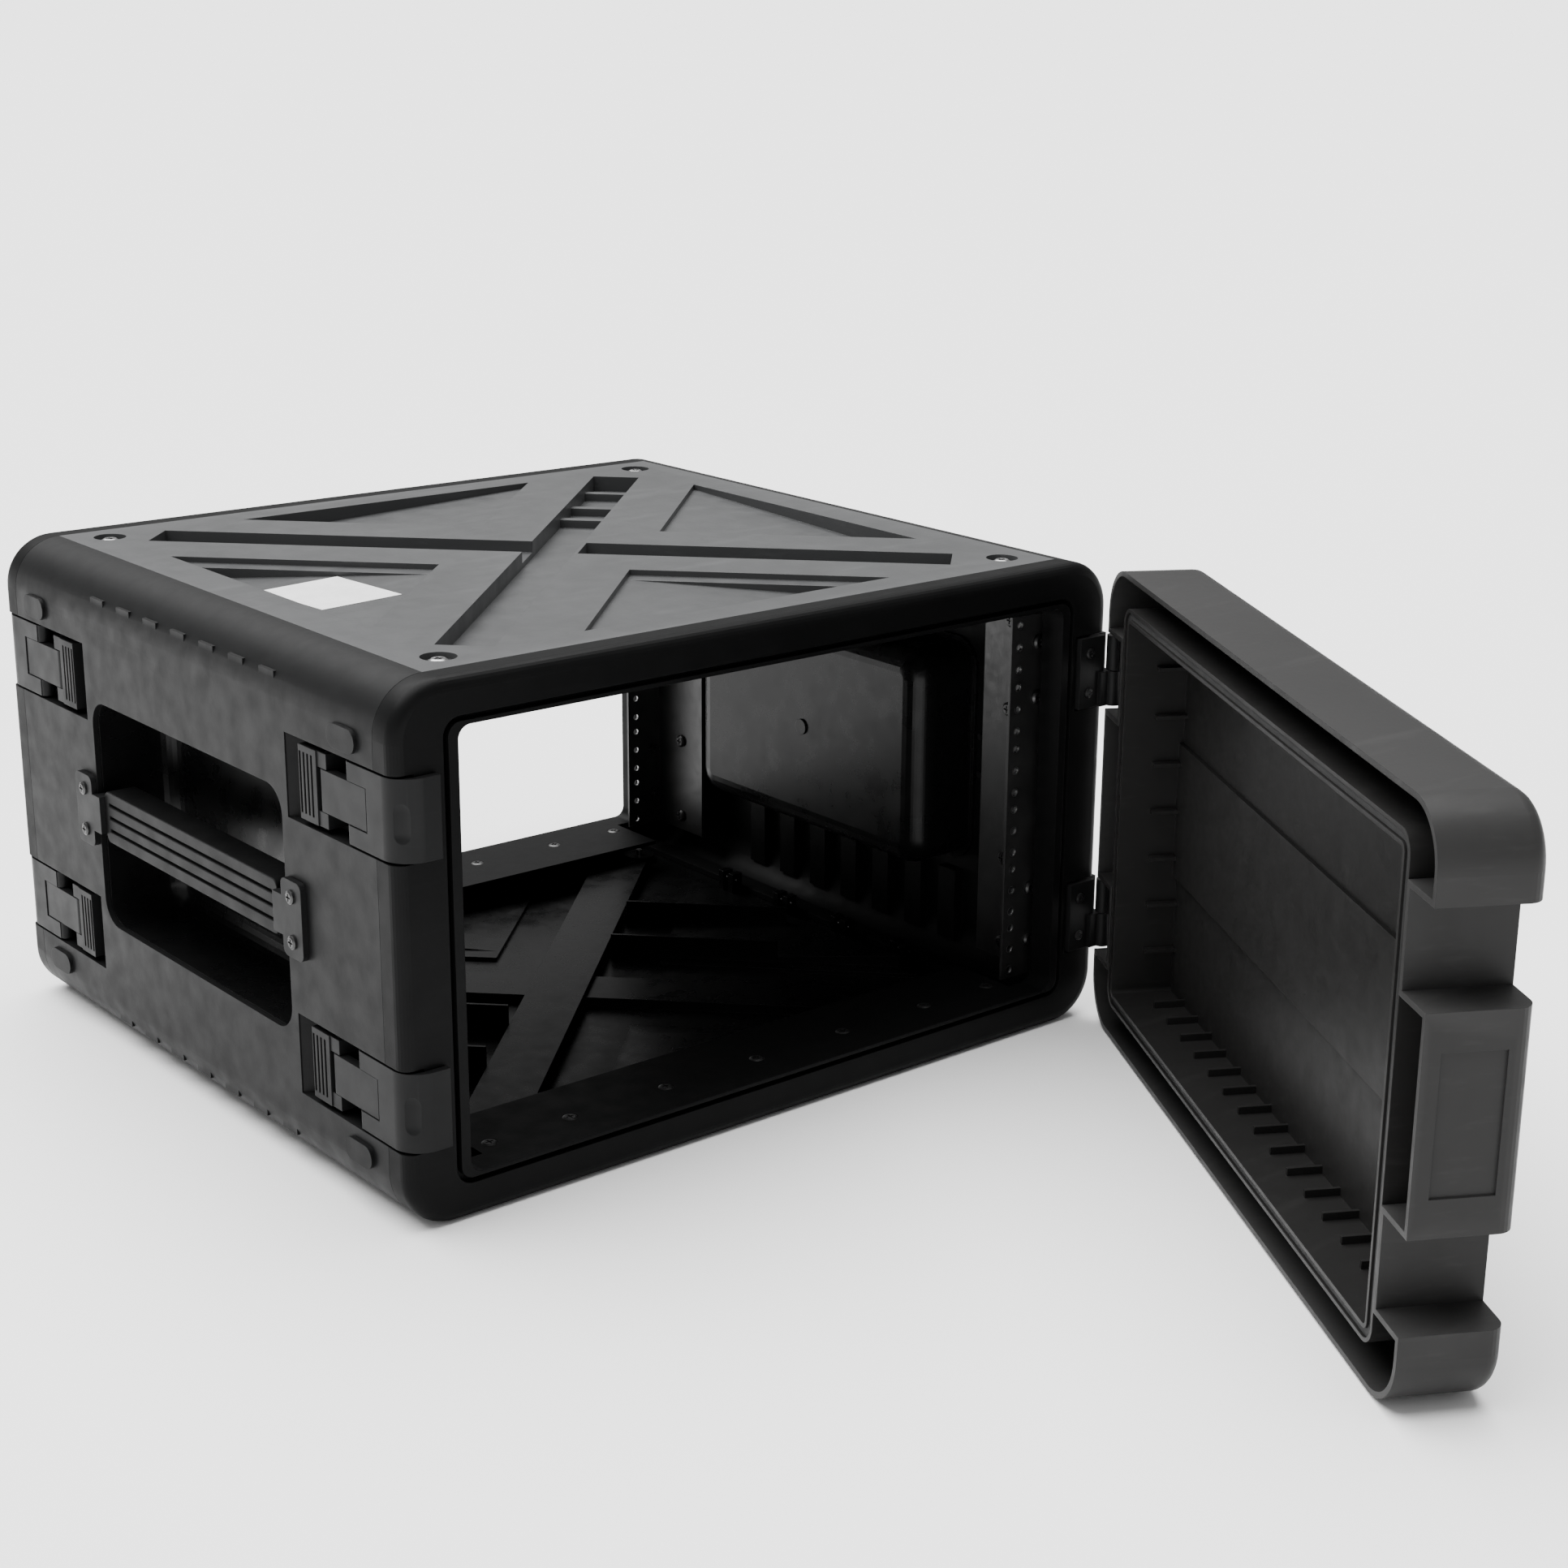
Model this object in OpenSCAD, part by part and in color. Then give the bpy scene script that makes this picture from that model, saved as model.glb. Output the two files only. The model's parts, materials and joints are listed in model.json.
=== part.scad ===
// Six-unit rack case for 19 inch equipment, with one hinged end door and four draw latches.
// Origin: centre of the underside. +Z is up, the door end faces -Y, the door hinges are at +X.

/* [Case] */
// Width of the case over its side panels
body_w = 573; // [560:1:600]
// Depth of the case from one end frame to the other
body_d = 516; // [500:1:560]
// Height of the case
body_h = 336; // [334:1:350]
// Radius of the four long edges of the case
corner_r = 34; // [28:1:38]
// Thickness of the side, top and bottom mouldings
wall = 4; // [3.5:0.5:5]
// Depth of each end frame ring
frame_depth = 20; // [18:1:24]

/* [Rack] */
// Number of rack units
rack_units = 6; // [4:1:6]
// Height of the lowest rack unit above the underside
rack_base = 29.5; // [29.5:0.5:34]
// Radius of the tapped rack holes
rack_hole_r = 2.4; // [2.2:0.1:3]
// Distance from the face of an end frame back to the rack rail
rail_setback = 31.4; // [31:0.2:40]
// Thickness of the steel of the rails
rail_t = 2; // [1.5:0.25:3]

/* [Door] */
// Thickness of the door
door_t = 60; // [56:1:64]
// Angle that the door stands open at
door_open = 60; // [0:1:170]
// Thickness of the door moulding
door_wall = 3.5; // [3:0.5:4]
// Depth of the tray inside the door
tray_depth = 44; // [38:1:46]

/* [Latches] */
// Height of each latch
latch_h = 50; // [46:1:50]
// Distance of the latch centres above and below the middle of the case
latch_offset = 89.5; // [86:0.5:92]
// Depth of the latch pockets in the side
pocket_deep = 14; // [13:0.5:15]
// Radius of the latch pins
latch_pin_r = 2; // [1.75:0.25:2.25]

/* [Handles] */
// Length of the handle recess
recess_l = 257; // [240:1:260]
// Height of the handle recess
recess_h = 158; // [140:1:160]
// Depth of the handle recess
recess_deep = 58; // [52:1:58]
// Height of the hand grip
grip_h = 36; // [30:1:40]

/* [Hidden] */
$fn = 48;
inch = 25.4;
unit_h = 1.75 * inch;              // one rack unit
hole_first = 0.25 * inch;          // first hole above the bottom of a unit
hole_step = 0.625 * inch;          // between the upper and lower pairs of holes in a unit
hole_span = 465.1;                 // between the left and right columns of rack holes
rail_inner = 450;                  // clear width between the rails
mid_z = body_h / 2;
half_w = body_w / 2;
half_d = body_d / 2;
seam_x = 252.5;                    // seam between side panel and top panel
seam_y = half_d - frame_depth;     // seam between end frame and panels
slit = 0.3;                        // gap between neighbouring mouldings
fit = 0.05;                        // radial running clearance of every pin
over = 1;                          // how far cutters run past a face

// end frame
rim_w = 505;                       // inner edge of the flat rim
rim_h = 290;
rim_r = 12;
groove_w = 3.5;
groove_deep = 6;
mouth_w = 485;                     // clear opening
mouth_h = 278;
rim_relief = 3;                    // step in the rim below the hinge brackets
relief_in = 256;                   // inner end of that step
flange_back = 74;                  // how far the inner flanges reach in from the face
flange_half = 222;
flange_t = 3;
frame_screw_x = [-210, -150, -75, 0, 75, 150, 210];
frame_screw_y = 31;                // from the face of the frame
frame_screw_sunk = 1;
frame_screw_r = 2.2;
frame_screw_l = 7;
frame_screw_head_r = 5;
frame_screw_head_h = 1.5;
head_gap = 0.2;                    // between a sunk screw head and its seat

// side panels
rail_rib_in = [18, 50];            // front faces of the rail ribs, behind the rail
rail_rib_t = 10;
rail_rib_end = 34;                 // from the ribs to the top and the underside
bump_back = 52;                    // middle of each raised pad from the end face
bump_half = 8;                     // from its middle to the centre of its round ends
bump_r = 7.5;
bump_proud = 2.5;
bump_low = 37.5;
bump_high = 40;                    // from the top
lap = 8;                           // width of the ledges on each side of the seam
lap_t = 5;
box_rib_step = 38;
box_rib_half = 9;
box_rib_h = 56;
box_rib_low = 18;
box_rib_deep = 8;
skin_hole_l = 14;                  // cutter for screw holes through the side skin
skin_hole_in = 12;

// latches, measured from the face of the end frame
pocket_h = latch_h + 3;
pocket_len = 122;
pocket_slope = 13;                 // run of the sloping far wall
pocket_t = 3;                      // wall of the pocket inside the side panel
skin_cover = 0.5;                  // from the outer edge of that wall to the side face
latch_pin_a = 80;
latch_pin_b = 50;
latch_pin_in = 5;                  // depth of the pin centres below the side face
knuckle_r = 4.5;
lever_t = 7;                       // thickness of the lever's arm
hook_t = 4.5;                      // thickness of its hook on the rim
lever_hook_in = 258;               // inner end of the lever on the rim
tongue_h = 26;
tongue_nose = 31;
tongue_gap = 0.5;
base_front = 85.5;
base_back = 106;
base_half = 23;
base_rib_half = 19;
base_rib_step = 4.4;
base_rib_t = 2;
base_rib_deep = 1.2;
ear_r = 4.2;                       // outer reach of the base's ears round the pin
ear_front = 5;                     // how far the ears reach past the pin
lever_bend = 18;                   // outer radius of the lever's round corner
lever_bend_in = 7;                 // inner radius of that corner
lever_gap = 0.6;                   // between the hook and the rim
thumb_r = 12;                      // radius of the thumb dimple in the round corner
thumb_deep = 1.8;
thumb_half = 6;                    // from the middle of the dimple to the centre of its round ends
thumb_low = 1.5;                   // middle of the dimple below the middle of the lever
bore_l = 60;                       // cutter for pin bores, longer than any latch part
latch_z = [mid_z - latch_offset, mid_z + latch_offset];

// handles
grip_l = 236;
bracket_y = 141.5;                 // middle of each handle bracket along the side
bracket_t = 4;
bracket_hole = 14.5;               // screw holes above and below the middle
bracket_w = 24;
bracket_h = 50;
bracket_r = 5;
ear_half = 13;                     // half height of the ears that hold the grip
ear_in = 18;                       // how far the ears reach into the recess
ear_back = 134;                    // where an ear meets its bracket
handle_screw_r = 2.4;
handle_screw_l = 12;
handle_head_r = 4.5;
handle_head_h = 2;
recess_r = 18;
tub_t = 3;
tub_boss_r = 6;
tub_boss_h = 1.5;
tub_rim_l = 12;                    // how much longer and taller the rim of the tub is
tub_rim_h = 14;
grip_deep = 20;
grip_proud = 0.5;
grip_groove = 1.1;                 // half width of the grooves along the grip
grip_groove_deep = 2;
grip_end = 6;                      // plain length at each end of the grip
finger_r = 9;
finger_end = 13;
finger_in = 24;                    // centre of the finger hollow below the side face

// hinge brackets
bracket_screw_z = [-14, 14];
bracket_screw_r = 2;
bracket_screw_x = 267;
bracket_screw_l = 12;
bracket_plate_t = 6;
bracket_plate_in = [258, 281];     // inner and outer end of the plate on the rim
bracket_arm_in = 276;              // inner end of the arm to the knuckle
bracket_proud = 2;                 // of the side face
bracket_lap = 12;                  // over the side panel
knuckle_gap = 0.4;                 // between the two halves of a hinge and the middle plane
leaf_screw_back = 27;              // leaf screws, from the face of the end frame
leaf_screw_r = 2;
leaf_screw_l = 9;
hinge_head_r = 3.6;                // screw heads of the hinge parts
hinge_head_h = 1.6;
bracket_face_screw_l = 10;
bracket_side_screw_l = 5;
bracket_side_head_r = 3.4;
bracket_side_head_h = 1.4;
leaf_plate_l = 34;
leaf_half = 22;
leaf_arm_t = 4;
leaf_rib_step = 5;
leaf_rib_t = 2;

// rails
rail_y = half_d - rail_setback;
rack_h = rack_units * unit_h;
rail_top = min(rack_base + rack_h, mid_z + mouth_h / 2 - 2);
rail_side_x = 257;                 // inner face of the side flange
rail_side_d = 60;
rail_screw_r = 2.5;
rail_side_screw_l = 8;
rail_face_screw_l = 7;
rail_screw_y = 33;
rail_screw_z = [-121, -56, 56, 121];
rail_face_x = 250;
rail_face_z = [-107, -68, 73, 113];
rail_head_r = 5;
rail_head_h = 3;
nut_r = 4.5;
nut_h = 3.5;

// door, drawn closed and swung about its hinge
door_gap = 0.5;
door_h = body_h - 3;
door_back = -half_d - door_gap;    // mating plane
door_front = door_back - door_t;
door_pocket_x = 255.5;
door_pocket_h = pocket_h + 2;
hinge_x = half_w + 1.5;
hinge_y = -half_d - 6;
hinge_r = 5.5;
hinge_pin_r = 2.5;
leaf_t = 3;

// door tray
tray_w = 503;
tray_h = 288;
lip_t = 2.5;
lip_groove = 5;
tray_floor_t = 3;
seal_deep = 8;
tray_r = 13;
band_half = 48;                    // raised band across the tray floor
band_t = 3;
tray_rib_half = 1.25;
tray_rib_h = 22;
tray_rib_step = 30;
tray_rib_up = [9, 15];             // low and high edge of the ribs above the lower wall's outside
hinge_rib_in = [16, 9];            // edges of the ribs inside the hinge side wall's outside
hinge_rib_step = 34;
band_inset = 10;                   // from the tray's outside to the ends of the band
pull_half = 22;                    // recesses across the outer face of the door
pull_l = 380;
shallow_cut = 1.5;
block_half = 40;                   // recess in the block between the latch pockets
block_ends = [14, 10];             // from its ends to the outer and the mating face of the door

// top and bottom panels
channel_w = 36;
channel_deep = 12;
shallow = 4;
panel_slope = 2.8;
ledge = 14;
dimple_x = 226;
dimple_y = 213;
dimple_r = 11;
dimple_deep = 4;
dimple_hole_r = 2.5;
dimple_post_t = 2;                 // wall of the post below a dimple
dimple_post_h = 9;
dimple_hole_l = 10;
corner_screw_l = 9;
corner_head_r = 6;
corner_head_h = 3;
rib_t = 2.5;
relief_t = 3;                      // wall of the moulding below the relief
relief_margin = [10, 6];           // from the panel edge to the raised inner side of the relief
relief_reach = 30;                 // cutter, deeper than the whole relief
short_apex = 90;                   // apexes of the triangles, from the middle of the panel
long_apex = 92;
short_leg = 174;
long_leg = 184;
long_channel = [-283, 272];        // ends of the channels along their diagonals
short_channel = [-280, 276];
short_channel_deep = 8;
step_at = [125, 170, 230];         // cross steps in the long channel
step_t = 8;
step_top = 6;
fin_at = [-150, -75, 75, 150];     // fins on the inner face, across their diagonal
fin_l = 150;
fin_from = 24;
fin_h = 24;
centre_pad_r = 15;
clip_y = [-105, -35, 35, 105];
clip_half_gap = 6;
clip_half_t = 3;
clip_x = [234, 243.5];
clip_h = 16;
clip_hole_r = 1.8;
clip_hole_up = 11;
label_a = 65.5;                    // middle of the sticker from the two legs of its triangle
label_b = 57;
label_w = 58;
label_l = 82;

// ---------- shared shapes ----------

// rectangle with exact round corners, centred
module rounded(w, h, r) {
    square([w - 2 * r, h], center = true);
    square([w, h - 2 * r], center = true);
    for (sx = [-1, 1], sz = [-1, 1])
        translate([sx * (w / 2 - r), sz * (h / 2 - r)]) circle(r);
}

// an outline in X and Z, extruded along Y between two planes
module along_y(y0, y1) {
    translate([0, y1, 0]) rotate([90, 0, 0]) linear_extrude(y1 - y0) children();
}

// an outline in Y and Z, extruded along X between two planes
module along_x(x0, x1) {
    translate([x0, 0, 0]) rotate([90, 0, 90]) linear_extrude(x1 - x0) children();
}

// a box given by its two corners
module block(low, high) {
    translate(low) cube(high - low);
}

module at_mid() {
    translate([0, mid_z]) children();
}

// a screw with a domed head that lies on the XY plane and points down
module screw(shank_r, shank_l, head_r, head_h) {
    difference() {
        union() {
            cylinder(r = head_r, h = head_h * 0.6);
            translate([0, 0, head_h * 0.6]) cylinder(r1 = head_r, r2 = head_r * 0.7, h = head_h * 0.4);
            translate([0, 0, -shank_l]) cylinder(r = shank_r, h = shank_l + 0.1);
        }
        for (a = [0, 90])
            rotate([0, 0, a]) translate([0, 0, head_h])
                cube([head_r * 1.1, head_r * 0.25, head_h * 0.9], center = true);
    }
}

// copies at the four latch places: front and rear, lower and upper
module at_latches() {
    for (end = [0, 1], z = latch_z)
        mirror([0, end, 0]) translate([0, 0, z]) children();
}

// ---------- end frames ----------

module end_frame() {
    difference() {
        union() {
            along_y(-half_d, -seam_y) at_mid() rounded(body_w, body_h, corner_r);
            for (up = [0, 1]) translate([0, 0, up * body_h]) mirror([0, 0, up])
                block([-flange_half, -seam_y - over, mid_z - mouth_h / 2 - flange_t],
                      [flange_half, -half_d + flange_back, mid_z - mouth_h / 2]);
        }
        along_y(-half_d - over, -seam_y + over) at_mid() rounded(mouth_w, mouth_h, rim_r - groove_w);
        along_y(-half_d - over, -half_d + groove_deep) at_mid() difference() {
            rounded(rim_w, rim_h, rim_r);
            rounded(rim_w - 2 * groove_w, rim_h - 2 * groove_w, rim_r - groove_w);
        }
        for (side = [0, 1], z = latch_z) mirror([side, 0, 0]) {
            block([half_w - pocket_deep, -half_d - over, z - pocket_h / 2],
                  [half_w + over, -seam_y + over, z + pocket_h / 2]);
        }
        for (z = latch_z) block([relief_in, -half_d - over, z - pocket_h / 2],
                                [half_w, -half_d + rim_relief, z + pocket_h / 2]);
        for (z = latch_z, dz = bracket_screw_z) translate([bracket_screw_x, -half_d - over, z + dz])
            rotate([-90, 0, 0]) cylinder(r = bracket_screw_r, h = bracket_screw_l);
        for (x = frame_screw_x, up = [0, 1])
            translate([x, -half_d + frame_screw_y, up * body_h]) mirror([0, 0, up])
                translate([0, 0, mid_z - mouth_h / 2]) {
                    translate([0, 0, -flange_t - over]) cylinder(r = frame_screw_r, h = flange_t + 2 * over);
                    translate([0, 0, -frame_screw_sunk])
                        cylinder(r = frame_screw_head_r + head_gap, h = flange_t);
                }
    }
}

module front_frame() { color("#333436") end_frame(); }

module rear_frame() { color("#333436") mirror([0, 1, 0]) end_frame(); }

module frame_screws() {
    for (x = frame_screw_x, up = [0, 1])
        translate([x, -half_d + frame_screw_y, up * body_h]) mirror([0, 0, up])
            translate([0, 0, mid_z - mouth_h / 2 - frame_screw_sunk])
                screw(frame_screw_r, frame_screw_l, frame_screw_head_r, frame_screw_head_h);
}

module front_frame_screws() { color("#1c1c1e") frame_screws(); }

module rear_frame_screws() { color("#1c1c1e") mirror([0, 1, 0]) frame_screws(); }

// ---------- side panels ----------

// vertical ribs that carry the rails at one end
module rail_ribs() {
    for (back = rail_rib_in)
        block([rail_side_x + rail_t, rail_y - back, rail_rib_end],
              [half_w - wall / 2, rail_y - back + rail_rib_t, body_h - rail_rib_end]);
}

// raised round-ended pad outside each latch
module side_bump(z) {
    translate([0, -half_d + bump_back, z]) along_x(half_w - wall / 2, half_w + bump_proud) {
        square([2 * bump_half, 2 * bump_r], center = true);
        for (s = [-1, 1]) translate([s * bump_half, 0]) circle(bump_r);
    }
}

// latch pocket with a sloping far wall, from the end face back along the side
module latch_pocket(grow, x_high) {
    floor_x = half_w - pocket_deep - grow;
    translate([0, 0, -pocket_h / 2 - grow]) linear_extrude(pocket_h + 2 * grow)
        polygon([[floor_x, -half_d - over], [x_high, -half_d - over],
                 [x_high, -half_d + pocket_len + grow], [half_w - 1, -half_d + pocket_len + grow],
                 [floor_x, -half_d + pocket_len - pocket_slope + grow]]);
}

// side panel at +X; has_latches adds the latch pockets
module side_panel(has_latches) {
    difference() {
        union() {
            along_y(-seam_y + slit, seam_y - slit) intersection() {
                at_mid() difference() {
                    rounded(body_w, body_h, corner_r);
                    rounded(body_w - 2 * wall, body_h - 2 * wall, corner_r - wall);
                }
                translate([seam_x, 0]) square([half_w - seam_x, body_h]);
            }
            // ledges that the top and bottom panels rest on
            for (up = [0, 1]) translate([0, 0, up * body_h]) mirror([0, 0, up])
                block([seam_x - lap, -seam_y + slit, wall + slit],
                      [seam_x + lap, seam_y - slit, wall + lap_t]);
            // web from each ledge to the outer skin
            for (up = [0, 1]) translate([0, 0, up * body_h]) mirror([0, 0, up])
                block([seam_x + 2, -seam_y + slit, wall - over], [seam_x + lap, seam_y - slit, wall + lap_t]);
            for (end = [0, 1]) mirror([0, end, 0]) {
                rail_ribs();
                for (z = [bump_low, body_h - bump_high]) side_bump(z);
                if (has_latches)
                    for (z = latch_z) translate([0, 0, z]) intersection() {
                        latch_pocket(pocket_t, half_w - skin_cover);
                        block([0, -seam_y + slit, -body_h], [body_w, 0, body_h]);
                    }
            }
            // box ribs below and above the handle recess
            for (i = [-3:3]) translate([0, i * box_rib_step, 0])
                for (z = [box_rib_low, body_h - box_rib_low - box_rib_h])
                    block([half_w - wall - box_rib_deep, -box_rib_half, z],
                          [half_w - wall / 2, box_rib_half, z + box_rib_h]);
        }
        along_x(half_w - wall - over, half_w + over) translate([0, mid_z])
            rounded(recess_l, recess_h, recess_r);
        for (end = [0, 1]) mirror([0, end, 0]) {
            if (has_latches)
                for (z = latch_z) translate([0, 0, z]) latch_pocket(0, half_w + over);
            else
                for (z = latch_z, dz = bracket_screw_z)
                    translate([half_w - skin_hole_in, -seam_y + bracket_lap / 2, z + dz])
                        rotate([0, 90, 0]) cylinder(r = bracket_screw_r, h = skin_hole_l);
            for (z = [-bracket_hole, bracket_hole])
                translate([half_w - skin_hole_in, bracket_y, mid_z + z])
                    rotate([0, 90, 0]) cylinder(r = handle_screw_r, h = skin_hole_l);
        }
    }
}

module left_side_panel() { color("#3f4043") mirror([1, 0, 0]) side_panel(true); }

module right_side_panel() { color("#3f4043") side_panel(false); }

// ---------- top and bottom panels ----------

// right-angled corner outline with its legs on the two axes
module corner_outline(leg, grow, inset) {
    polygon([[inset - grow, -grow], [leg + 2.4 * grow, -grow], [inset - grow, leg - inset + 2.4 * grow]]);
}

// one triangular recess: a shallow ledge along its second leg and a floor that falls away
module corner_recess(leg, grow) {
    translate([0, 0, -shallow - grow]) linear_extrude(shallow + 2 * grow + over) corner_outline(leg, grow, 0);
    intersection() {
        translate([0, 0, -relief_reach]) linear_extrude(relief_reach) corner_outline(leg, grow, ledge);
        translate([0, 0, -shallow - grow]) rotate([-panel_slope, 0, 0])
            translate([-leg, -leg, 0]) cube([3 * leg, 3 * leg, 40]);
    }
}

// the four triangles and the two crossing channels, all cut from above the plane z = 0
module relief(grow) {
    for (turn = [0, 180]) rotate([0, 0, turn]) {
        translate([0, -short_apex, 0]) rotate([0, 0, 225]) corner_recess(short_leg, grow);
        translate([-long_apex, 0, 0]) rotate([0, 0, 225]) mirror([0, 1, 0]) corner_recess(long_leg, grow);
    }
    rotate([0, 0, 45])
        block([long_channel[0] - grow, -channel_w / 2 - grow, -channel_deep - grow],
              [long_channel[1] + grow, channel_w / 2 + grow, over]);
    rotate([0, 0, -45]) {
        block([short_channel[0] - grow, -channel_w / 2 - grow, -short_channel_deep - grow],
              [0, channel_w / 2 + grow, over]);
        block([channel_w / 2 + rib_t, -channel_w / 2 - grow, -short_channel_deep - grow],
              [short_channel[1] + grow, channel_w / 2 + grow, over]);
    }
}

// panel with its outer face on z = 0, relief cut downwards
module cover_panel() {
    difference() {
        union() {
            block([-seam_x + slit, -seam_y + slit, -wall], [seam_x - slit, seam_y - slit, 0]);
            intersection() {
                relief(relief_t);
                block([-seam_x + relief_margin[0], -seam_y + relief_margin[1], -relief_reach],
                      [seam_x - relief_margin[0], seam_y - relief_margin[1], -wall / 2]);
            }
            // thin diagonal fins on the inner face
            for (d = fin_at) rotate([0, 0, -45])
                block([d > 0 ? fin_from : -fin_l, d, -fin_h],
                      [d > 0 ? fin_l : -fin_from, d + rib_t, -wall / 2]);
            for (sx = [-1, 1], sy = [-1, 1]) translate([sx * dimple_x, sy * dimple_y, -dimple_post_h])
                cylinder(r = dimple_r + dimple_post_t, h = dimple_post_h - over);
        }
        difference() {
            relief(0);
            // cross steps near one end of the long channel
            rotate([0, 0, 45]) for (d = step_at)
                block([d, -channel_w / 2, -channel_deep - over], [d + step_t, channel_w / 2, -step_top]);
        }
        for (sx = [-1, 1], sy = [-1, 1]) translate([sx * dimple_x, sy * dimple_y, -dimple_deep])
            cylinder(r = dimple_r, h = dimple_deep + over);
        for (sx = [-1, 1], sy = [-1, 1]) translate([sx * dimple_x, sy * dimple_y, -dimple_hole_l])
            cylinder(r = dimple_hole_r, h = dimple_hole_l);
    }
}

module top_panel() { color("#47484b") translate([0, 0, body_h]) cover_panel(); }

// the bottom panel also has a flat centre pad level with the underside
module bottom_panel() {
    color("#2c2d2f") {
        mirror([0, 0, 1]) cover_panel();
        cylinder(r = centre_pad_r, h = channel_deep + over);
    }
}

module corner_screws() {
    color("#5a5b5e") for (up = [0, 1], sx = [-1, 1], sy = [-1, 1])
        translate([sx * dimple_x, sy * dimple_y, up * body_h]) mirror([0, 0, 1 - up])
            translate([0, 0, -dimple_deep])
                screw(dimple_hole_r, corner_screw_l, corner_head_r, corner_head_h);
}

module panel_clips() {
    color("#2c2d2f") for (side = [0, 1], up = [0, 1], y = clip_y, pair = [-clip_half_gap, clip_half_gap])
        translate([0, y + pair, up * body_h]) mirror([0, 0, up]) mirror([side, 0, 0])
            difference() {
                block([clip_x[0], -clip_half_t, wall], [clip_x[1], clip_half_t, wall + clip_h]);
                translate([(clip_x[0] + clip_x[1]) / 2, 0, wall + clip_hole_up]) rotate([90, 0, 0])
                    cylinder(r = clip_hole_r, h = 2 * clip_half_t + 2 * over, center = true);
            }
}

// blank sticker on the sloping floor of the left triangle
module blank_label() {
    color("#e9eaec") translate([-long_apex, 0, body_h]) rotate([0, 0, 225]) mirror([0, 1, 0])
        translate([0, 0, -shallow]) rotate([-panel_slope, 0, 0])
            translate([label_a, label_b, 0]) rotate([0, 0, 45])
                translate([-label_w / 2, -label_l / 2, 0]) cube([label_w, label_l, 0.4]);
}

// ---------- handles, drawn at +X ----------

module handle_tub() {
    skin_in = half_w - wall - slit;
    difference() {
        union() {
            along_x(half_w - recess_deep - tub_t, skin_in) at_mid()
                rounded(recess_l + 2 * tub_t, recess_h + 2 * tub_t, recess_r + tub_t);
            along_x(skin_in - tub_t, skin_in) at_mid()
                rounded(recess_l + tub_rim_l, recess_h + tub_rim_h, recess_r + tub_t + 1);
            along_x(half_w - recess_deep - tub_t - tub_boss_h, half_w - recess_deep) at_mid()
                circle(tub_boss_r);
        }
        along_x(half_w - recess_deep, half_w) at_mid() rounded(recess_l, recess_h, recess_r);
    }
}

module left_handle_tub() { color("#232426") mirror([1, 0, 0]) handle_tub(); }

module right_handle_tub() { color("#232426") handle_tub(); }

// hand grip with grooves along it, between the ears of its brackets
module handle_grip() {
    difference() {
        along_x(half_w - grip_deep, half_w + grip_proud) at_mid() rounded(grip_l, grip_h, grip_end);
        for (z = [-grip_h / 4, 0, grip_h / 4])
            translate([half_w - grip_groove_deep, 0, mid_z + z])
                block([0, -grip_l / 2 + grip_end, -grip_groove],
                      [2 * grip_groove_deep, grip_l / 2 - grip_end, grip_groove]);
        // finger hollow along the back
        translate([half_w - finger_in, 0, mid_z]) rotate([90, 0, 0])
            cylinder(r = finger_r, h = grip_l - 2 * finger_end, center = true);
    }
}

module left_handle_grip() { color("#3a3b3e") mirror([1, 0, 0]) handle_grip(); }

module right_handle_grip() { color("#3a3b3e") handle_grip(); }

module handle_bracket() {
    difference() {
        union() {
            translate([0, bracket_y, 0]) along_x(half_w, half_w + bracket_t) at_mid()
                rounded(bracket_w, bracket_h, bracket_r);
            block([half_w - ear_in, grip_l / 2 + slit, mid_z - ear_half],
                  [half_w + bracket_t, recess_l / 2 - 0.5, mid_z + ear_half]);
            block([half_w, grip_l / 2 + slit, mid_z - ear_half],
                  [half_w + bracket_t, ear_back, mid_z + ear_half]);
        }
        for (z = [-bracket_hole, bracket_hole]) translate([half_w - over, bracket_y, mid_z + z])
            rotate([0, 90, 0]) cylinder(r = handle_screw_r, h = bracket_t + 2 * over);
    }
}

module handle_brackets() {
    for (end = [0, 1]) mirror([0, end, 0]) handle_bracket();
}

module left_handle_brackets() { color("#333436") mirror([1, 0, 0]) handle_brackets(); }

module right_handle_brackets() { color("#333436") handle_brackets(); }

module handle_screws() {
    color("#1c1c1e") for (side = [0, 1], end = [0, 1], z = [-bracket_hole, bracket_hole])
        mirror([side, 0, 0]) mirror([0, end, 0])
            translate([half_w + bracket_t, bracket_y, mid_z + z])
                rotate([0, 90, 0]) screw(handle_screw_r, handle_screw_l, handle_head_r, handle_head_h);
}

// ---------- rack rails ----------

// steel angle at the front and +X; the others are mirrored
module rail() {
    difference() {
        union() {
            block([rail_inner / 2, -rail_y, rack_base], [rail_side_x + rail_t, -rail_y + rail_t, rail_top]);
            block([rail_side_x, -rail_y, rack_base], [rail_side_x + rail_t, -rail_y + rail_side_d, rail_top]);
        }
        for (u = [0:rack_units - 1], row = [0:2])
            translate([hole_span / 2, -rail_y - over, rack_base + hole_first + u * unit_h + row * hole_step])
                rotate([-90, 0, 0]) cylinder(r = rack_hole_r, h = rail_t + 2 * over);
        for (z = rail_screw_z)
            translate([rail_side_x - over, -rail_y + rail_screw_y, rack_base + rack_h / 2 + z])
                rotate([0, 90, 0]) cylinder(r = rail_screw_r, h = rail_t + 2 * over);
        for (z = rail_face_z)
            translate([rail_face_x, -rail_y - over, rack_base + rack_h / 2 + z])
                rotate([-90, 0, 0]) cylinder(r = rail_screw_r, h = rail_t + 2 * over);
    }
}

module front_right_rail() { color("#26272a") rail(); }

module front_left_rail() { color("#26272a") mirror([1, 0, 0]) rail(); }

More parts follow.
